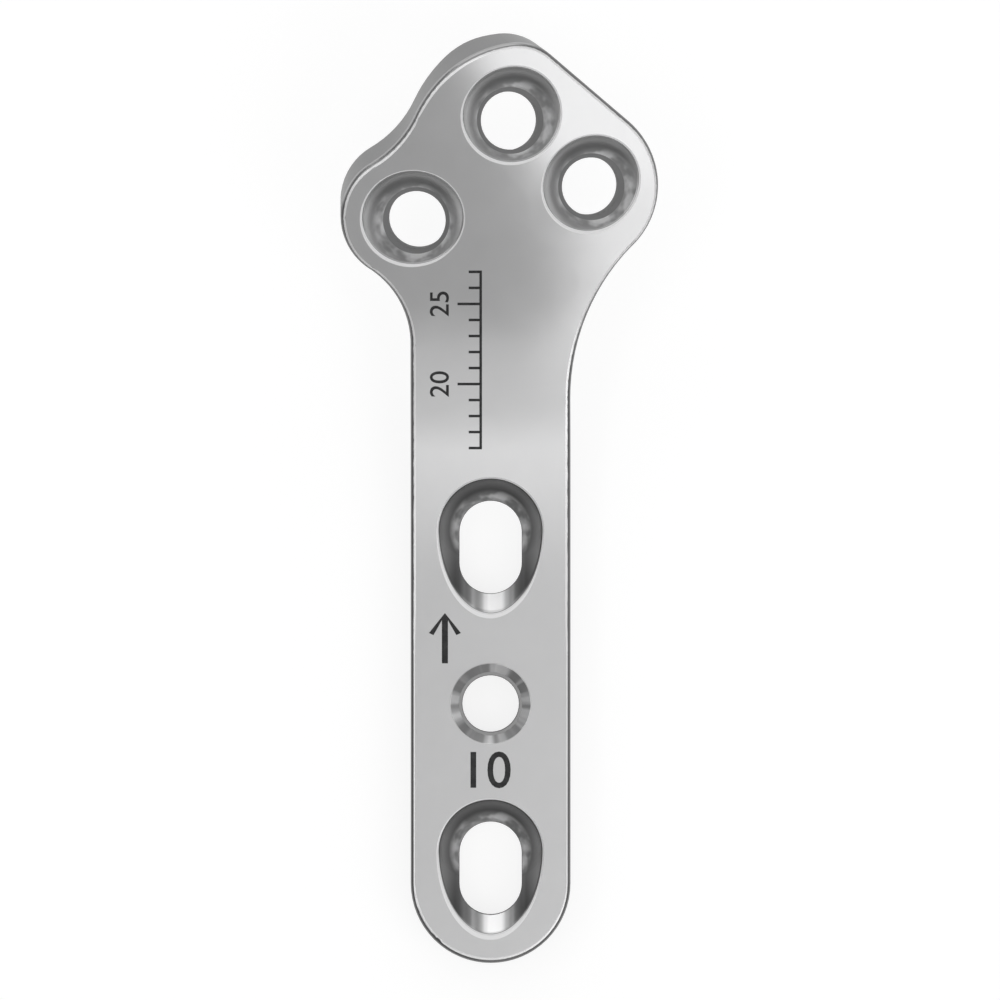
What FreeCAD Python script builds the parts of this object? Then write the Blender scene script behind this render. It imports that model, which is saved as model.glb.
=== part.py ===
# Bone plate with a straight shaft and a bent, three-lobed head.
# Frame: the shaft's round hole is on the Z axis and the shaft's underside lies on z = 0.
# +Y runs along the shaft toward the head, +Z points away from the bone. Sizes in mm.
import os
from math import acos, atan2, ceil, cos, hypot, pi, radians, sin, sqrt

import FreeCAD
import Part

V = FreeCAD.Vector

# Driving sizes of the plate
THICKNESS = 3.0
SHAFT_WIDTH = 10.0
END_CENTRE_Y = -11.23
FLAT_END_Y = 3.0
EDGE_RADIUS = 0.32
UNDER_BEVEL = 0.25
RIM_BEVEL = 0.14

# Bends across the plate: middle of each along Y, its width, the slope that it adds, and
# how far its line climbs for each mm of X
BEND_MIDDLES_Y = (12.5, 17.0, 23.2)
BEND_WIDTHS = (9.0, 2.3, 4.4)
BEND_SLOPES = (0.120, 0.155, 0.164)
BEND_CLIMBS = (0.0, 0.04, 0.0)

# Fold between the head's two faces: its line runs aslant down the head and turns toward
# the shaft from FOLD_POINT on. The fold widens on the way and fades out over the neck.
FOLD_POINT = (2.66, 34.07)
FOLD_ANGLE = radians(31.3)
FOLD_TURN = radians(20.5)
FOLD_TURN_RADIUS = 12.0
FOLD_WIDTH = 6.65
FOLD_FLARE = 0.23
FOLD_SLOPE = 0.37
FOLD_FADE_Y = (15.6, 25.5)

# Spacing of the poles that shape the bent surface
POLE_STEP = 1.5

# Outline seen from above, where the walls meet the top face: three round lobes and the
# arcs that run into them. The shoulder is a wider arc that leaves the top lobe at an
# angle counted from +X.
LOBE_LEFT = (-5.52, 30.35)
LOBE_LEFT_RADIUS = 3.85
LOBE_TOP = (1.78, 38.08)
LOBE_TOP_RADIUS = 3.14
LOBE_RIGHT = (5.33, 32.35)
LOBE_RIGHT_RADIUS = 5.22
SHOULDER_RADIUS = 8.05
SHOULDER_ANGLE = radians(99.0)
HOLLOW_RADIUS = 6.84
WAIST_LEFT_RADIUS = 5.61
WAIST_RIGHT_RADIUS = 13.67

# Head holes for round screw heads: place on the top face, and lean of the axis in X and Y
SEAT_RADIUS = 3.25
SEAT_RISE = 0.9
THROAT_RADIUS = 2.06
THROAT_DEPTH = 0.2
BORE_RADIUS = 1.82
HEAD_HOLES = ((-4.85, 30.36), (1.36, 36.75), (6.33, 32.48))
HEAD_LEANS = ((-0.083, -0.090), (0.117, 0.009), (0.119, -0.051))

# Round hole in the shaft: radius of its mouth, then radius and depth of throat and bore
ROUND_MOUTH_RADIUS = 2.5
ROUND_THROAT_RADIUS = 1.98
ROUND_THROAT_DEPTH = 0.55
ROUND_BORE_RADIUS = 1.77
ROUND_BORE_DEPTH = 1.5

# Long holes that draw the bone ends together
SLOT_MIDDLES_Y = (9.8, -10.3)
SLOT_WIDTH = 3.9
SLOT_LENGTH = 5.8
BALL_RADIUS = 3.2
BALL_SHIFT = 1.04
BALL_RISE = 0.06
RAMP_ANGLE = radians(37.5)


def gain(t, width, slope):
    """Height gained at distance t past the middle of a bend."""
    if t <= -width / 2:
        return 0.0
    if t >= width / 2:
        return slope * t
    return slope * (t + width / 2) ** 2 / (2 * width)


def fold_drop(x, y):
    """Height lost to the fold, whose line is straight, then an arc, then straight again."""
    dx = x - FOLD_POINT[0]
    dy = y - FOLD_POINT[1]
    out = dx * cos(FOLD_ANGLE) + dy * sin(FOLD_ANGLE)
    down = dx * sin(FOLD_ANGLE) - dy * cos(FOLD_ANGLE)
    turned = min(max(atan2(down, out + FOLD_TURN_RADIUS), 0.0), FOLD_TURN)
    across = (out + FOLD_TURN_RADIUS) * cos(turned) + down * sin(turned) - FOLD_TURN_RADIUS
    share = (y - FOLD_FADE_Y[0]) / (FOLD_FADE_Y[1] - FOLD_FADE_Y[0])
    share = min(max(share, 0.0), 1.0)
    fade = share ** 2 * (3 - 2 * share)
    return fade * gain(across, FOLD_WIDTH + FOLD_FLARE * down, FOLD_SLOPE)


def top_height(x, y):
    """Height of the top face above z = 0."""
    z = THICKNESS - fold_drop(x, y)
    for k, middle in enumerate(BEND_MIDDLES_Y):
        z += gain(y - middle - BEND_CLIMBS[k] * x, BEND_WIDTHS[k], BEND_SLOPES[k])
    return z


def top_normal(x, y):
    """Unit normal of the top face."""
    d = 0.01
    dx = (top_height(x + d, y) - top_height(x - d, y)) / (2 * d)
    dy = (top_height(x, y + d) - top_height(x, y - d)) / (2 * d)
    normal = V(-dx, -dy, 1)
    normal.normalize()
    return normal


def plan(x, y):
    """Point of the plan, seen from above."""
    return V(x, y, 0)


def polar(centre, radius, angle):
    """Point of a circle in plan at an angle counted from +X."""
    return centre + plan(radius * cos(angle), radius * sin(angle))


def direction(start, end):
    """Angle from +X of the way from one point to another."""
    return atan2(end.y - start.y, end.x - start.x)


def meeting(first, first_reach, second, second_reach):
    """Point at the two reaches from the two centres, on the left of the way between them."""
    gap = (second - first).Length
    along = (gap ** 2 + first_reach ** 2 - second_reach ** 2) / (2 * gap)
    bend = acos(along / first_reach)
    return polar(first, first_reach, direction(first, second) + bend)


def arc(centre, radius, start, end):
    """Arc from one angle to another, the shorter way round."""
    end = start + (end - start + pi) % (2 * pi) - pi
    points = [polar(centre, radius, start + (end - start) * k / 2) for k in range(3)]
    return Part.Arc(*points).toShape()


def shaft_outline():
    """Outline of the flat shaft, from its round end to where the bends start."""
    half = SHAFT_WIDTH / 2
    end_left = plan(-half, END_CENTRE_Y)
    end_right = plan(half, END_CENTRE_Y)
    top_left = plan(-half, FLAT_END_Y)
    top_right = plan(half, FLAT_END_Y)
    return Part.Wire([
        Part.Arc(end_left, plan(0, END_CENTRE_Y - half), end_right).toShape(),
        Part.makeLine(end_right, top_right),
        Part.makeLine(top_right, top_left),
        Part.makeLine(top_left, end_left),
    ])


def head_outline():
    """Outline of the bent part in plan: lobes and the arcs and flank tangent to them."""
    half = SHAFT_WIDTH / 2
    left, left_radius = plan(*LOBE_LEFT), LOBE_LEFT_RADIUS
    top, top_radius = plan(*LOBE_TOP), LOBE_TOP_RADIUS
    right, right_radius = plan(*LOBE_RIGHT), LOBE_RIGHT_RADIUS

    # Waists: arcs tangent to the shaft's side and to a lobe, with centres outside the plate
    waist_left_x = -half - WAIST_LEFT_RADIUS
    drop = sqrt((left_radius + WAIST_LEFT_RADIUS) ** 2 - (waist_left_x - left.x) ** 2)
    waist_left = plan(waist_left_x, left.y - drop)
    waist_right_x = half + WAIST_RIGHT_RADIUS
    drop = sqrt((right_radius + WAIST_RIGHT_RADIUS) ** 2 - (waist_right_x - right.x) ** 2)
    waist_right = plan(waist_right_x, right.y - drop)

    # Shoulder around the top lobe, and the hollow between it and the left lobe
    shoulder = polar(top, top_radius - SHOULDER_RADIUS, SHOULDER_ANGLE)
    hollow = meeting(left, left_radius + HOLLOW_RADIUS, shoulder, SHOULDER_RADIUS + HOLLOW_RADIUS)

    # Flank: the straight outer tangent of the top and right lobes
    spread = (right - top).Length
    flank_angle = direction(top, right) + acos((top_radius - right_radius) / spread)

    # The left lobe turns more than half round, so it is drawn in two arcs
    left_start = direction(left, waist_left)
    left_end = direction(left, hollow)
    return Part.Wire([
        Part.makeLine(plan(-half, FLAT_END_Y), plan(-half, waist_left.y)),
        arc(waist_left, WAIST_LEFT_RADIUS, 0, direction(waist_left, left)),
        arc(left, left_radius, left_start, pi),
        arc(left, left_radius, pi, left_end),
        arc(hollow, HOLLOW_RADIUS, direction(hollow, left), direction(hollow, shoulder)),
        arc(shoulder, SHOULDER_RADIUS, direction(shoulder, hollow), SHOULDER_ANGLE),
        arc(top, top_radius, SHOULDER_ANGLE, flank_angle),
        Part.makeLine(
            polar(top, top_radius, flank_angle),
            polar(right, right_radius, flank_angle),
        ),
        arc(right, right_radius, flank_angle, direction(right, waist_right)),
        arc(waist_right, WAIST_RIGHT_RADIUS, direction(waist_right, right), pi),
        Part.makeLine(plan(half, waist_right.y), plan(half, FLAT_END_Y)),
        Part.makeLine(plan(half, FLAT_END_Y), plan(-half, FLAT_END_Y)),
    ])


def pole_places(low, high):
    """Places of the poles of an even cubic spline, two of them a third in from the ends."""
    third = POLE_STEP / 3
    inner = [low + POLE_STEP * k for k in range(1, round((high - low) / POLE_STEP))]
    return [low, low + third] + inner + [high - third, high]


def knot_places(low, high):
    """Places of the knots of the same spline."""
    return [low + POLE_STEP * k for k in range(round((high - low) / POLE_STEP) + 1)]


def bent_top(outline):
    """Smooth top surface over the bends, wider than the outline by a pole's step or more.

    Its poles stand on the height formula.
    """
    box = outline.BoundBox
    sideways = (ceil(max(-box.XMin, box.XMax) / POLE_STEP) + 1) * POLE_STEP
    onward = (ceil((box.YMax - FLAT_END_Y) / POLE_STEP) + 1) * POLE_STEP
    x_span = (-sideways, sideways)
    y_span = (FLAT_END_Y - 2 * POLE_STEP, FLAT_END_Y + onward)
    poles = [
        [V(x, y, top_height(x, y)) for y in pole_places(*y_span)]
        for x in pole_places(*x_span)
    ]
    x_knots = knot_places(*x_span)
    y_knots = knot_places(*y_span)
    surface = Part.BSplineSurface()
    surface.buildFromPolesMultsKnots(
        poles,
        [4] + [1] * (len(x_knots) - 2) + [4],
        [4] + [1] * (len(y_knots) - 2) + [4],
        x_knots,
        y_knots,
        False,
        False,
        3,
        3,
    )
    return surface.toShape()


def faces_along(face, up):
    """True where a face looks along +Z, or with up = -1 along -Z, within about 37 degrees."""
    u0, u1, v0, v1 = face.ParameterRange
    return face.normalAt((u0 + u1) / 2, (v0 + v1) / 2).z * up > 0.8


def outer_edges(body, up):
    """Edges where the walls meet the top faces, or with up = -1 the bottom faces."""
    found = []
    for edge in body.Edges:
        beside = body.ancestorsOfType(edge, Part.Face)
        if sum(faces_along(face, up) for face in beside) == 1:
            found.append(edge)
    return found


def blank():
    """The plate without its holes: a flat shaft and a head thickened square to its top."""
    shaft = Part.Face(shaft_outline()).extrude(V(0, 0, THICKNESS))
    outline = head_outline()
    top = bent_top(outline)
    prism = Part.Face(outline).extrude(V(0, 0, 2 * top.BoundBox.ZMax))
    skin = top.common(prism)
    head = skin.Faces[0].makeOffsetShape(-THICKNESS, 1e-4, fill=True)
    return shaft.fuse(head)


def revolved(steps, foot, up):
    """Solid of revolution about the axis through foot, from (radius, height) steps."""
    points = [V(0, 0, steps[0][1])]
    points += [V(radius, 0, height) for radius, height in steps]
    points += [V(0, 0, steps[-1][1]), V(0, 0, steps[0][1])]
    solid = Part.Face(Part.makePolygon(points)).revolve(V(0, 0, 0), V(0, 0, 1), 360)
    solid.Placement = FreeCAD.Placement(foot, FreeCAD.Rotation(V(0, 0, 1), up))
    return solid


def head_hole(place, lean):
    """Ball seat, short throat and straight bore, about a leaning axis."""
    x, y = place
    centre = V(x, y, top_height(x, y)) + top_normal(x, y) * SEAT_RISE
    up = V(lean[0], lean[1], 1)
    up.normalize()
    seat_bottom = -sqrt(SEAT_RADIUS ** 2 - THROAT_RADIUS ** 2)
    throat_bottom = seat_bottom - THROAT_DEPTH
    ball = Part.makeSphere(SEAT_RADIUS, centre)
    below = THICKNESS + SEAT_RADIUS
    steps = (
        (BORE_RADIUS, -below),
        (BORE_RADIUS, throat_bottom),
        (THROAT_RADIUS, seat_bottom),
        (THROAT_RADIUS, 0),
    )
    return ball.fuse(revolved(steps, centre, up))


def round_hole():
    """Mouth, taper and straight bore of the shaft's round hole."""
    above = THICKNESS / 3
    flare = (ROUND_MOUTH_RADIUS - ROUND_THROAT_RADIUS) / ROUND_THROAT_DEPTH
    steps = (
        (ROUND_BORE_RADIUS, -above),
        (ROUND_BORE_RADIUS, THICKNESS - ROUND_BORE_DEPTH),
        (ROUND_THROAT_RADIUS, THICKNESS - ROUND_THROAT_DEPTH),
        (ROUND_MOUTH_RADIUS + flare * above, THICKNESS + above),
    )
    return revolved(steps, V(0, 0, 0), V(0, 0, 1))


def long_hole(middle_y):
    """Straight long hole with a ball pocket that runs out in a ramp toward the end."""
    half_width = SLOT_WIDTH / 2
    half_run = (SLOT_LENGTH - SLOT_WIDTH) / 2
    deep = -THICKNESS
    tall = 4 * THICKNESS
    slot = Part.makeBox(SLOT_WIDTH, 2 * half_run, tall, V(-half_width, middle_y - half_run, deep))
    for side in (-1, 1):
        end = V(0, middle_y + side * half_run, deep)
        slot = slot.fuse(Part.makeCylinder(half_width, tall, end))
    ball_y = middle_y + BALL_SHIFT
    centre = V(0, ball_y, top_height(0, ball_y) + BALL_RISE)
    ball = Part.makeSphere(BALL_RADIUS, centre)
    uphill = V(0, -cos(RAMP_ANGLE), sin(RAMP_ANGLE))
    ramp = Part.makeCylinder(BALL_RADIUS, 4 * BALL_RADIUS, centre, uphill)
    return slot.fuse([ball, ramp]).removeSplitter()


def rim_edges(body):
    """Edges of the openings in the top faces, apart from the flared round hole."""
    found = []
    for face in body.Faces:
        if not faces_along(face, 1) or face.Area < SHAFT_WIDTH ** 2:
            continue
        for wire in face.Wires:
            middle = wire.BoundBox.Center
            if not wire.isSame(face.OuterWire) and hypot(middle.x, middle.y) > ROUND_MOUTH_RADIUS:
                found += wire.Edges
    return found


def plate():
    """The finished plate as one solid."""
    body = blank().Solids[0]
    body = body.makeChamfer(UNDER_BEVEL, outer_edges(body, -1)).Solids[0]
    body = body.makeFillet(EDGE_RADIUS, outer_edges(body, 1)).Solids[0]
    holes = [head_hole(place, lean) for place, lean in zip(HEAD_HOLES, HEAD_LEANS)]
    holes.append(round_hole())
    holes += [long_hole(middle_y) for middle_y in SLOT_MIDDLES_Y]
    body = body.cut(holes).Solids[0]
    return body.makeChamfer(RIM_BEVEL, rim_edges(body)).Solids[0]


body = plate()
os.makedirs("parts", exist_ok=True)
body.exportStep("parts/bone_plate.step")
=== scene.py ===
"""Dress the bone plate: satin implant steel, dark surface marks, pale floor and soft light.

Everything is in metres in the frame of the solid: the round hole of the shaft is on the
Z axis, the shaft lies flat on z = 0 and runs along Y toward the three-lobed head.
"""
import math

import bmesh
import bpy
import numpy as np
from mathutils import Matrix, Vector


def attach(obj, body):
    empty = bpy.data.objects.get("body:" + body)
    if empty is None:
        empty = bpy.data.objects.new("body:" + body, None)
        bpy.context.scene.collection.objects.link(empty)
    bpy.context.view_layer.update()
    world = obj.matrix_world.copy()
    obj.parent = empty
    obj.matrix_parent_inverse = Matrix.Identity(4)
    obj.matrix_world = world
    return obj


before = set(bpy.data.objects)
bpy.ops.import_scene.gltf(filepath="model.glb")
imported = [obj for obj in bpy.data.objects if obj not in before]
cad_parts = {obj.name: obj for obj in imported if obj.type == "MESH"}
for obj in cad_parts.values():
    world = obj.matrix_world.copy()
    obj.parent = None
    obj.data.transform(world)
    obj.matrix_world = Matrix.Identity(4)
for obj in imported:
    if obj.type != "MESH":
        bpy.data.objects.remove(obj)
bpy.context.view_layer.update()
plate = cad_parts["bone_plate"]

MM = 0.001

# Screw seats of the head, in mm: middle of each ball, its radius, the lean of each axis in X
# and Y, and the radius of the throat below the ball
SEAT_BALLS = ((-4.845, 29.998, 9.242), (1.515, 36.462, 11.693), (6.584, 32.2, 9.08))
SEAT_RADIUS = 3.25
SEAT_LEANS = ((-0.083, -0.090), (0.117, 0.009), (0.119, -0.051))
SEAT_THROAT = 2.06

# Long holes: middle and radius of each ball pocket, the uphill way of its ramp, then the middle
# of each slot along Y, half its width, and half the straight run between its round ends
POCKET_BALLS = ((0.0, 10.84, 3.08), (0.0, -9.26, 3.06))
POCKET_RADIUS = 3.2
RAMP_WAY = (0.0, -math.cos(math.radians(37.5)), math.sin(math.radians(37.5)))
SLOT_MIDDLES = (9.8, -10.3)
SLOT_HALF, SLOT_RUN = 1.95, 0.95

# Round hole of the shaft: radii of the flare's mouth, of the taper's top and of the bore
ROUND_MOUTH, ROUND_THROAT, ROUND_BORE = 2.5, 1.98, 1.77

# Where the neck ends and the head's seats begin, along Y
HEAD_START = (20.0, 21.0)

# Bends of the top face: middle along Y, width, slope and climb of each line
BENDS = ((12.5, 9.0, 0.120, 0.0), (17.0, 2.3, 0.155, 0.04), (23.2, 4.4, 0.164, 0.0))

# Fold between the head's faces: the point where its line starts to turn, the line's angle and
# how far it turns, the radius of that turn, its width, how that grows, its slope, and where
# along Y it fades in
FOLD_POINT = (2.66, 34.07)
FOLD_ANGLE, FOLD_TURN = math.radians(31.3), math.radians(20.5)
FOLD_RADIUS = 12.0
FOLD_WIDTH, FOLD_FLARE, FOLD_SLOPE = 6.65, 0.23, 0.37
FOLD_FADE = (15.6, 25.5)

# How far the marks stand above the top face and how far their walls reach down, in mm
MARK_LIFT, MARK_DEPTH = 0.012, 0.05

# Greys of the steel, from 0 for black to 1: top face, cut walls, outer edges with their wall in
# sight or hidden, then for the shaft's pockets and the head's seats the shallow parts, the steep
# parts and the steep parts that face down the plate, and last the flare, the taper and the bores.
# All but the top face's greys are painted shade: darker walls, edge lines, hollows and bores,
# darkest where a hollow faces down the plate or an edge hides its wall.
FACE_GREYS = (0.60, 0.70)
WALL_SHADE_GREY = 0.25
EDGE_SHADE_GREY, HIDDEN_EDGE_SHADE_GREY = 0.42, 0.19
POCKET_SHADE_GREYS, SEAT_SHADE_GREYS = (0.36, 0.13, 0.05), (0.45, 0.55, 0.30)
FLARE_SHADE_GREY, TAPER_SHADE_GREY = 0.42, 0.22
SHAFT_BORE_SHADE_GREY, HEAD_BORE_SHADE_GREY = 0.16, 0.28

# Share of the floor that glows toward the camera and in reflections, and its strength: with
# the lamps' light on the rest, an open floor comes to about 1
FLOOR_GLOW, GLOW_STRENGTH = 0.7, 1.17
FLOOR_REACH, FLOOR_DROP = 6.0, 0.00002

# What the lamps are turned to, and the frame of the photograph: its width and middle, in m
PLATE_MIDDLE = (0.0, 0.013, 0.0)
VIEW_WIDTH, VIEW_MIDDLE = 0.0625, (0.0005875, 0.01275, 0.006)


class Wire:
    """A node's output that can be used in sums; every operator adds one Math node."""

    def __init__(self, shader, socket):
        self.shader = shader
        self.socket = socket

    def math(self, operation, *values):
        return self.shader.node("ShaderNodeMath", {"operation": operation}, dict(enumerate(values)))

    def __add__(self, other):
        return self.math("ADD", self, other)

    def __radd__(self, other):
        return self.math("ADD", other, self)

    def __sub__(self, other):
        return self.math("SUBTRACT", self, other)

    def __rsub__(self, other):
        return self.math("SUBTRACT", other, self)

    def __mul__(self, other):
        return self.math("MULTIPLY", self, other)

    def __rmul__(self, other):
        return self.math("MULTIPLY", other, self)

    def __truediv__(self, other):
        return self.math("DIVIDE", self, other)

    def __rtruediv__(self, other):
        return self.math("DIVIDE", other, self)

    def __neg__(self):
        return self.math("MULTIPLY", self, -1.0)

    def sine(self):
        return self.math("SINE", self)

    def greater(self, other):
        return self.math("MAXIMUM", self, other)

    def lesser(self, other):
        return self.math("MINIMUM", self, other)

    def between(self, low, high):
        """Soft step: 0 below low, 1 above high, or the other way round where low > high."""
        ends = (0.0, 1.0) if low < high else (1.0, 0.0)
        low, high = min(low, high), max(low, high)
        return self.shader.node(
            "ShaderNodeMapRange",
            {"interpolation_type": "SMOOTHSTEP"},
            {
                "Value": self,
                "From Min": low,
                "From Max": high,
                "To Min": ends[0],
                "To Max": ends[1],
            },
        )


class Shader:
    """Node tree of a material or of the world, in which one method makes any node."""

    def __init__(self, owner):
        owner.use_nodes = True
        self.tree = owner.node_tree
        self.tree.nodes.clear()

    def node(self, kind, settings=None, inputs=None, output=0):
        """Add a node: its settings first, then the values or links of its inputs."""
        made = self.tree.nodes.new(kind)
        for name, value in (settings or {}).items():
            setattr(made, name, value)
        for key, value in (inputs or {}).items():
            if isinstance(value, Wire):
                self.tree.links.new(value.socket, made.inputs[key])
            else:
                made.inputs[key].default_value = value
        return Wire(self, made.outputs[output]) if made.outputs else made

    def vector(self, operation, *values, output=0):
        return self.node(
            "ShaderNodeVectorMath", {"operation": operation}, dict(enumerate(values)), output
        )

    def scaled(self, vector, factor):
        inputs = {0: vector, "Scale": factor}
        return self.node("ShaderNodeVectorMath", {"operation": "SCALE"}, inputs)

    def along(self, axis, vector):
        """One of a vector's parts: axis 0 is X, 1 is Y and 2 is Z."""
        return self.node("ShaderNodeSeparateXYZ", {}, {0: vector}, axis)

    def beside(self, vector):
        """Length of a vector as seen from above."""
        return self.vector("LENGTH", self.vector("MULTIPLY", vector, (1.0, 1.0, 0.0)), output=1)

    def millimetres(self):
        """Place on the piece, in mm."""
        return self.scaled(self.node("ShaderNodeTexCoord", output="Object"), 1.0 / MM)

    def noise(self, place, scale, detail=2.0, roughness=0.5):
        return self.node(
            "ShaderNodeTexNoise",
            {},
            {"Vector": place, "Scale": scale, "Detail": detail, "Roughness": roughness},
        )

    def stretched(self, place, scale, shift=(0.0, 0.0, 0.0)):
        """The place with its axes scaled and moved, for a texture that runs along one."""
        return self.node(
            "ShaderNodeMapping", {}, {"Vector": place, "Scale": scale, "Location": shift}
        )


def slope_past(distance, width, slope):
    """Slope of a bend at a distance past its middle: it grows evenly over the width."""
    return (distance / width + 0.5).greater(0.0).lesser(1.0) * slope


def top_normal(s, place):
    """Unit normal that the bent top face has at a place, from the slopes of bends and fold.

    The fold's slope points square to its line, which turns by up to FOLD_TURN on an arc.
    """
    x, y = s.along(0, place), s.along(1, place)
    slope_y = 0.0
    for middle, width, slope, climb in BENDS:
        slope_y = slope_past(y - middle - x * climb, width, slope) + slope_y
    dx, dy = x - FOLD_POINT[0], y - FOLD_POINT[1]
    cosine, sine = math.cos(FOLD_ANGLE), math.sin(FOLD_ANGLE)
    out = dx * cosine + dy * sine
    down = dx * sine - dy * cosine
    turned = down.math("ARCTAN2", down, out + FOLD_RADIUS).greater(0.0).lesser(FOLD_TURN)
    bend_cosine, bend_sine = turned.math("COSINE", turned), turned.sine()
    across = (out + FOLD_RADIUS) * bend_cosine + down * bend_sine - FOLD_RADIUS
    drop = slope_past(across, down * FOLD_FLARE + FOLD_WIDTH, FOLD_SLOPE) * y.between(*FOLD_FADE)
    slope_x = -drop * (bend_cosine * cosine + bend_sine * sine)
    slope_y = slope_y - drop * (bend_cosine * sine - bend_sine * cosine)
    raised = s.node("ShaderNodeCombineXYZ", {}, {0: -slope_x, 1: -slope_y, 2: 1.0})
    return s.vector("NORMALIZE", raised)


def hollow_gap(s, place, middle, radius, way=None):
    """Distance in mm from a ball, or from a ball drawn out into a ramp along a way.

    Gives it with how far the place lies toward the lower left of the middle, from -1 to 1,
    and with the hollow's own normal, which is the arm to its middle or middle line.
    """
    arm = s.vector("SUBTRACT", place, middle)
    nearest = arm
    if way is not None:
        along = s.vector("DOT_PRODUCT", arm, way, output=1).greater(0.0)
        nearest = s.vector("SUBTRACT", arm, s.scaled(way, along))
    level = s.vector("NORMALIZE", s.vector("MULTIPLY", arm, (1.0, 1.0, 0.0)))
    lower_left = s.vector("DOT_PRODUCT", level, (-0.6, -0.8, 0.0), output=1)
    normal = s.vector("NORMALIZE", s.scaled(nearest, -1.0))
    return s.vector("LENGTH", nearest, output=1) - radius, lower_left, normal


def implant_steel():
    """Satin steel with painted highlights on its rims and edges, painted shade on its cut walls,
    edges, hollows and bores, and a painted mottled reflection in its turned hollows.

    Each kind of surface is a mask from 0 to 1, worked out from the place on the plate and
    from the way the surface faces, and the masks blend the greys, the gloss and the bumps.
    """
    material = bpy.data.materials.new("implant_steel")
    s = Shader(material)
    place = s.millimetres()
    facing = s.node("ShaderNodeTexCoord", output="Normal")

    # Hollows and their rims: each rim is a painted highlight, brightest and widest at its lower
    # left
    hollows, rims, hollow_way = None, None, (0.0, 0.0, 0.0)
    shapes = [(middle, SEAT_RADIUS, None) for middle in SEAT_BALLS]
    shapes += [(middle, POCKET_RADIUS, RAMP_WAY) for middle in POCKET_BALLS]
    for middle, radius, way in shapes:
        gap, lower_left, normal = hollow_gap(s, place, middle, radius, way)
        inside = gap.between(0.045, 0.015)
        outer = lower_left.greater(0.0) * 0.10 + 0.13
        rim = gap.between(0.045, 0.075) * (outer - gap).between(-0.02, 0.02)
        hollows = inside if hollows is None else hollows.greater(inside)
        rims = rim if rims is None else rims.greater(rim)
        hollow_way = s.vector("ADD", hollow_way, s.scaled(normal, inside))

    # The round hole's flare is a cone, which faces up and to the axis alike
    beside = s.beside(place)
    flare = beside.between(ROUND_MOUTH + 0.06, ROUND_MOUTH)
    taper = beside.between(ROUND_THROAT + 0.03, ROUND_THROAT - 0.03)
    hollows = hollows.greater(flare)
    level = s.vector("NORMALIZE", s.vector("MULTIPLY", place, (-1.0, -1.0, 0.0)))
    normal = s.scaled(s.vector("ADD", level, (0.0, 0.0, 1.0)), 0.7)
    hollow_way = s.vector("ADD", hollow_way, s.scaled(normal, flare))

    # Bores: straight holes through the plate, darkened with painted shade
    bores = beside.between(ROUND_BORE + 0.05, ROUND_BORE + 0.01)
    for middle, lean in zip(SEAT_BALLS, SEAT_LEANS):
        arm = s.vector("SUBTRACT", place, middle)
        axis = Vector((lean[0], lean[1], 1.0)).normalized()
        away = s.vector("LENGTH", s.vector("CROSS_PRODUCT", arm, tuple(axis)), output=1)
        bores = bores.greater(away.between(SEAT_THROAT + 0.05, SEAT_THROAT + 0.01))
    for middle_y in SLOT_MIDDLES:
        arm = s.vector("ABSOLUTE", s.vector("SUBTRACT", place, (0.0, middle_y, 0.0)))
        arm = s.vector("SUBTRACT", arm, (0.0, SLOT_RUN, 0.0))
        away = s.beside(s.vector("MAXIMUM", arm, (0.0, 0.0, 0.0)))
        bores = bores.greater(away.between(SLOT_HALF + 0.05, SLOT_HALF + 0.01))

    # The underside around the openings stays plain
    above = s.along(2, facing).between(-0.8, -0.6)
    bores, hollows, flare = bores * above, hollows * above, flare * above
    rims = rims * (1.0 - bores)
    openings = hollows.greater(rims).greater(bores)

    # Outer edges, by how far the surface has turned away from the top face's own normal.
    # Painted shade makes each edge a dark line, darker where the wall below it is out of sight
    # from above, and a painted highlight makes a white glint line just inside it.
    top = top_normal(s, place)
    turned = s.vector("DOT_PRODUCT", facing, top, output=1)
    outward = s.vector("NORMALIZE", s.vector("SUBTRACT", facing, s.scaled(top, turned)))
    hidden = s.along(2, outward).between(0.16, 0.04)
    turned = turned.math("ABSOLUTE", turned)
    solid = 1.0 - openings
    walls = turned.between(0.30, 0.10) * solid
    edges = turned.between(0.10, 0.22) * turned.between(0.93, 0.87) * solid
    glints = turned.between(0.87, 0.93) * turned.between(0.992, 0.978) * solid

    # Finish: fine tumbled grain, cloudy worn patches, faint marks along the shaft, and mottled
    # noise that paints uneven reflection into the hollows and also roughens their bump
    grain = s.noise(place, 14.0, 3.0, 0.6)
    cloud = s.noise(place, 0.35, 3.0, 0.55)
    drawn = s.noise(s.stretched(place, (9.0, 0.5, 4.0)), 1.0, 3.0, 0.6)
    swirl = s.stretched(hollow_way, (-1.0, -1.0, 1.6), (11.38, 5.7, 2.1))
    mottle_and_reflection = s.noise(swirl, 2.8, 2.0, 0.5)

    def blend(share, first, second):
        return s.node("ShaderNodeMix", {"data_type": "RGBA"}, {0: share, 6: first, 7: second}, 2)

    def grey(value):
        return value, value, value * 1.005, 1.0

    # White for the painted highlights and painted reflections below
    white = grey(1.0)
    head = s.along(1, place).between(*HEAD_START)
    # Random worn patches from cloud and grain, plus a painted light gradient: the face lighter
    # toward +X
    wear_and_side_light = cloud * 0.4 + grain * 0.2 + s.along(0, place) * 0.05 + 0.1
    face = blend(wear_and_side_light, grey(FACE_GREYS[0]), grey(FACE_GREYS[1]))
    # Painted shade on the walls and edge lines, then a painted highlight on the glint lines
    colour = blend(walls, face, grey(WALL_SHADE_GREY))
    colour = blend(edges, colour, blend(hidden, grey(EDGE_SHADE_GREY), grey(HIDDEN_EDGE_SHADE_GREY)))
    colour = blend(glints, colour, white)
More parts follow.
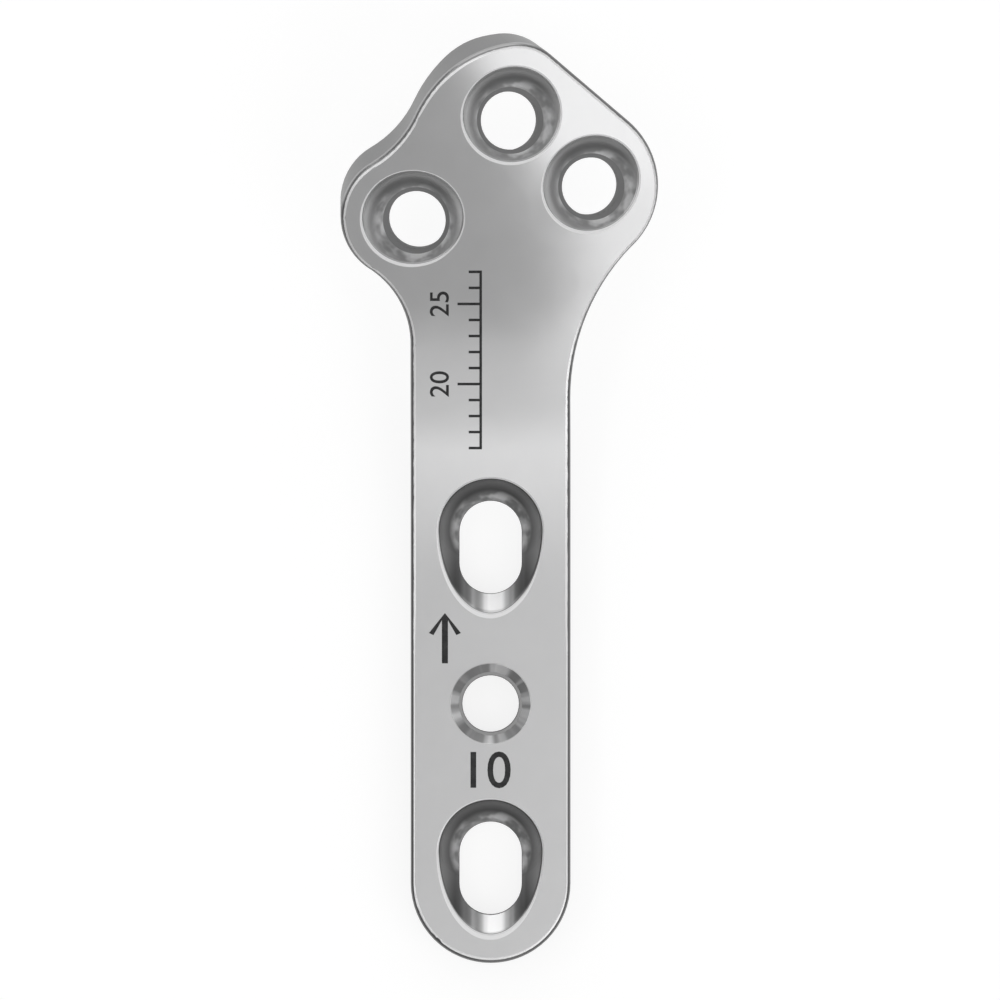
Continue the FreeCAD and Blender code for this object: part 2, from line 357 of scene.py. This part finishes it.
    # Hollows: painted shade darkens them, most on steep parts facing down the plate, a painted
    # mottled reflection brightens their shallow parts and the flare, and the taper gets painted
    # shade
    greys = [blend(head, grey(low), grey(high)) for low, high in zip(POCKET_SHADE_GREYS, SEAT_SHADE_GREYS)]
    shallow = blend(mottle_and_reflection.between(0.36, 0.64), greys[0], white)
    steep = blend(s.along(1, hollow_way).between(-0.15, -0.75), greys[1], greys[2])
    turned_face = blend(s.along(2, hollow_way).between(0.56, 0.76), steep, shallow)
    flared = blend(mottle_and_reflection.between(0.40, 0.60), grey(FLARE_SHADE_GREY), white)
    turned_face = blend(taper, blend(flare, turned_face, flared), grey(TAPER_SHADE_GREY))
    colour = blend(hollows, colour, turned_face)
    # Painted shade in the bores, then a painted highlight on the rims
    colour = blend(bores, colour, blend(head, grey(SHAFT_BORE_SHADE_GREY), grey(HEAD_BORE_SHADE_GREY)))
    colour = blend(rims, colour, white)

    # Gloss: cut edges and bores are duller, and the rims scatter more than they mirror
    metal = 1.0 - rims.greater(glints * 0.5) * 0.85 - bores * 0.6 - hollows * 0.3
    rough = 0.26 + cloud * 0.05 + grain * 0.06 + drawn * 0.04 + hollows * 0.02 + walls * 0.1
    rough = rough + rims * 0.3 + glints * 0.05 + bores * 0.55
    height = grain * 0.35 + drawn * 0.25 * (1.0 - openings) + mottle_and_reflection * hollows * 4.0
    bump = s.node(
        "ShaderNodeBump", {}, {"Strength": 1.0, "Distance": 0.0000022, "Height": height}
    )
    surface = s.node(
        "ShaderNodeBsdfPrincipled",
        {},
        {"Base Color": colour, "Metallic": metal, "Roughness": rough, "Normal": bump},
    )
    s.node("ShaderNodeOutputMaterial", {}, {"Surface": surface})
    return material


def burnt_mark():
    """Dark oxide that a marking beam leaves: matt, a little blotchy, worn thin in places."""
    material = bpy.data.materials.new("burnt_mark")
    s = Shader(material)
    place = s.millimetres()
    blotch = s.noise(place, 2.5, 3.0, 0.6)
    speck = s.noise(place, 22.0, 2.0, 0.5)
    colour = s.node(
        "ShaderNodeMix",
        {"data_type": "RGBA"},
        {0: blotch.between(0.35, 0.75), 6: (0.008, 0.008, 0.009, 1.0), 7: (0.03, 0.03, 0.031, 1.0)},
        output=2,
    )
    bump = s.node("ShaderNodeBump", {}, {"Strength": 0.6, "Distance": 0.000002, "Height": speck})
    surface = s.node(
        "ShaderNodeBsdfPrincipled",
        {},
        {"Base Color": colour, "Roughness": 0.45 + speck * 0.2, "Normal": bump},
    )
    s.node("ShaderNodeOutputMaterial", {}, {"Surface": surface})
    return material


def floor_paper():
    """White paper floor: a part of it glows so that it shows white, and it keeps shadows."""
    material = bpy.data.materials.new("floor_paper")
    s = Shader(material)
    paper = s.node("ShaderNodeBsdfDiffuse", {}, {"Color": (0.9, 0.9, 0.9, 1.0)})
    glow = s.node(
        "ShaderNodeEmission", {}, {"Color": (1.0, 1.0, 1.0, 1.0), "Strength": GLOW_STRENGTH}
    )
    seen = s.node("ShaderNodeLightPath", output="Is Camera Ray")
    mirrored = s.node("ShaderNodeLightPath", output="Is Glossy Ray")
    through = s.node("ShaderNodeLightPath", output="Is Transmission Ray")
    share = (seen + mirrored + through).lesser(1.0) * FLOOR_GLOW
    mixed = s.node("ShaderNodeMixShader", {}, {0: share, 1: paper, 2: glow})
    s.node("ShaderNodeOutputMaterial", {}, {"Surface": mixed})
    return material


def floor():
    """Large flat floor just under the plate."""
    mesh = bpy.data.meshes.new("floor")
    signs = np.array([(-1, -1, 0), (1, -1, 0), (1, 1, 0), (-1, 1, 0)])
    corners = signs * FLOOR_REACH - (0.0, 0.0, FLOOR_DROP)
    mesh.from_pydata(corners.tolist(), [], [(0, 1, 2, 3)])
    mesh.materials.append(floor_paper())
    made = bpy.data.objects.new("floor", mesh)
    bpy.context.scene.collection.objects.link(made)


def world_light():
    """Even light from above that falls off toward the horizon."""
    world = bpy.data.worlds.new("studio")
    bpy.context.scene.world = world
    s = Shader(world)
    way = s.node("ShaderNodeTexCoord", output="Generated")
    up = s.along(2, way)
    strength = up.between(0.1, 1.0) * 0.43 + up.between(0.8, 1.0) * 0.08 + 0.12
    glow = s.node(
        "ShaderNodeBackground", {}, {"Color": (1.0, 1.0, 1.0, 1.0), "Strength": strength}
    )
    s.node("ShaderNodeOutputWorld", {}, {"Surface": glow})


def soft_box(name, toward, from_zenith, size, radiance, distance=1.5):
    """Area lamp that looks at the middle of the plate from an angle off the zenith.

    toward is the angle of its side counted from +X, in degrees. Its power is four times its
    area for each unit of the brightness wanted.
    """
    lamp = bpy.data.lights.new(name, "AREA")
    lamp.shape = "RECTANGLE"
    lamp.size, lamp.size_y = size
    lamp.energy = radiance * 4.0 * size[0] * size[1]
    made = bpy.data.objects.new(name, lamp)
    side, tilt = math.radians(toward), math.radians(from_zenith)
    way = Vector((math.cos(side) * math.sin(tilt), math.sin(side) * math.sin(tilt), math.cos(tilt)))
    made.location = Vector(PLATE_MIDDLE) + way * distance
    made.rotation_mode = "QUATERNION"
    made.rotation_quaternion = way.to_track_quat("Z", "Y")
    made.visible_camera = False
    bpy.context.scene.collection.objects.link(made)


def camera():
    """Camera that looks straight down from far off, so that the view has no perspective."""
    data = bpy.data.cameras.new("camera")
    data.lens = 1200.0
    data.sensor_width = 36.0
    reach = VIEW_WIDTH * data.lens / data.sensor_width
    data.clip_start, data.clip_end = 0.1, 30.0
    made = bpy.data.objects.new("camera", data)
    made.location = Vector(VIEW_MIDDLE) + Vector((0.0, 0.0, reach))
    bpy.context.scene.collection.objects.link(made)
    bpy.context.scene.camera = made


def flat_grid(low, high, step=0.3):
    """Points and quads of a flat rectangle between two corners, on a grid of about step."""
    across = max(int(math.ceil((high[0] - low[0]) / step)), 1)
    along = max(int(math.ceil((high[1] - low[1]) / step)), 1)
    columns = np.linspace(low[0], high[0], across + 1)
    rows = np.linspace(low[1], high[1], along + 1)
    x, y = np.meshgrid(columns, rows)
    first = (np.arange(along)[:, None] * (across + 1) + np.arange(across)).ravel()
    quads = np.stack([first, first + 1, first + across + 2, first + across + 1], axis=1)
    return np.stack([x.ravel(), y.ravel()], axis=1), quads.tolist()


def flat_arrow(middle, tall, wide, stem):
    """Points and faces of an arrow toward +Y: a stem, and a barb from its tip to each side.

    A barb comes down 1.25 times as far as it goes out, and its end is cut square to it.
    """
    x, y = middle
    half, barb = stem / 2, wide / 2
    top, foot = y + tall / 2, y - tall / 2
    neck, tip = top - stem * 1.2, top - barb * 1.25
    inner, low = barb - stem * 0.75, tip - stem * 0.35
    points = np.array([
        (x - half, foot), (x + half, foot), (x + half, neck), (x - half, neck),
        (x + barb, tip), (x, top), (x - barb, tip), (x + inner, low), (x - inner, low),
    ])
    faces = [(0, 1, 2, 3), (2, 7, 4, 5), (3, 2, 5), (3, 5, 6, 8)]
    return points, faces


def finished_mesh(made):
    """Mesh of an object as its curve or modifiers finish it."""
    bpy.context.view_layer.update()
    depsgraph = bpy.context.evaluated_depsgraph_get()
    return bpy.data.meshes.new_from_object(made.evaluated_get(depsgraph))


def flat_words(words, tall, middle, turn=0.0, stroke=0.0):
    """Points and faces of some characters: scaled to a height, turned, and moved to a middle."""
    curve = bpy.data.curves.new("words", "FONT")
    curve.body = words
    curve.resolution_u = 5
    curve.offset = stroke
    made = bpy.data.objects.new("words", curve)
    bpy.context.scene.collection.objects.link(made)
    mesh = finished_mesh(made)
    bpy.data.objects.remove(made)
    bm = bmesh.new()
    bm.from_mesh(mesh)
    bmesh.ops.remove_doubles(bm, verts=bm.verts, dist=1e-5)
    bmesh.ops.triangulate(bm, faces=bm.faces)
    bmesh.ops.subdivide_edges(bm, edges=bm.edges, cuts=1, use_grid_fill=True)
    bm.to_mesh(mesh)
    bm.free()
    points = np.empty(len(mesh.vertices) * 3)
    mesh.vertices.foreach_get("co", points)
    points = points.reshape(-1, 3)[:, :2]
    faces = [tuple(face.vertices) for face in mesh.polygons]
    low, high = points.min(0), points.max(0)
    points = (points - (low + high) / 2) * tall / (high[1] - low[1])
    swing = np.array([(math.cos(turn), math.sin(turn)), (-math.sin(turn), math.cos(turn))])
    return points @ swing + np.array(middle), faces


def lay_on(name, flats, material):
    """Make flat shapes one mark: dropped straight down on the plate, then raised a little.

    A thin wall below it reaches into the steel, so no edge of the mark stands free.
    """
    points, faces = np.zeros((0, 2)), []
    for flat, quads in flats:
        faces += [[corner + len(points) for corner in quad] for quad in quads]
        points = np.concatenate([points, flat])
    start = np.column_stack([points, np.full(len(points), 50.0)]) * MM
    mesh = bpy.data.meshes.new(name)
    mesh.from_pydata(start.tolist(), [], faces)
    made = bpy.data.objects.new(name, mesh)
    bpy.context.scene.collection.objects.link(made)
    drop = made.modifiers.new("drop", "SHRINKWRAP")
    drop.target = plate
    drop.wrap_method = "PROJECT"
    drop.use_project_z = True
    drop.use_positive_direction, drop.use_negative_direction = False, True
    laid = finished_mesh(made)
    made.modifiers.remove(drop)
    made.data = laid
    places = np.empty(len(laid.vertices) * 3)
    laid.vertices.foreach_get("co", places)
    places[2::3] += MARK_LIFT * MM
    laid.vertices.foreach_set("co", places)
    laid.materials.append(material)
    wall = made.modifiers.new("wall", "SOLIDIFY")
    wall.thickness = MARK_DEPTH * MM
    wall.offset = -1.0
    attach(made, "root")


def scale_marks():
    """Ticks at each mm of distance from the round hole, with longer ones at 20 and 25."""
    first, last, line, half = 16, 27, -0.62, 0.08
    flats = [flat_grid((line - half, first - half), (line + half, last + half))]
    for y in range(first, last + 1):
        long = 1.45 if y % 5 == 0 else 0.75
        flats.append(flat_grid((line - long, y - half), (line - half / 2, y + half)))
        if y % 5 == 0:
            flats.append(flat_words(str(y), 1.2, (-3.2, y), math.pi / 2, 0.004))
    return flats


steel = implant_steel()
for slot in plate.material_slots:
    slot.material = steel

dark = burnt_mark()
lay_on("spacing_number", [flat_words("10", 2.3, (0.0, -4.14), 0.0, 0.006)], dark)
lay_on("head_arrow", [flat_arrow((-2.86, 4.1), 3.15, 2.0, 0.38)], dark)
lay_on("distance_scale", scale_marks(), dark)

floor()
world_light()
soft_box("key", -88, 13, (0.66, 0.36), 0.78)
soft_box("low_key", -88, 29, (0.8, 0.30), 0.28)
soft_box("right", -36, 47, (0.9, 0.95), 0.94)
soft_box("back", 100, 68, (2.2, 0.7), 1.1)
soft_box("side", 15, 76, (0.9, 0.4), 1.0)
soft_box("front", -80, 73, (1.0, 0.3), 0.8)
soft_box("left", 180, 34, (1.2, 0.28), 1.0)
camera()
bpy.context.scene.view_settings.view_transform = "Standard"
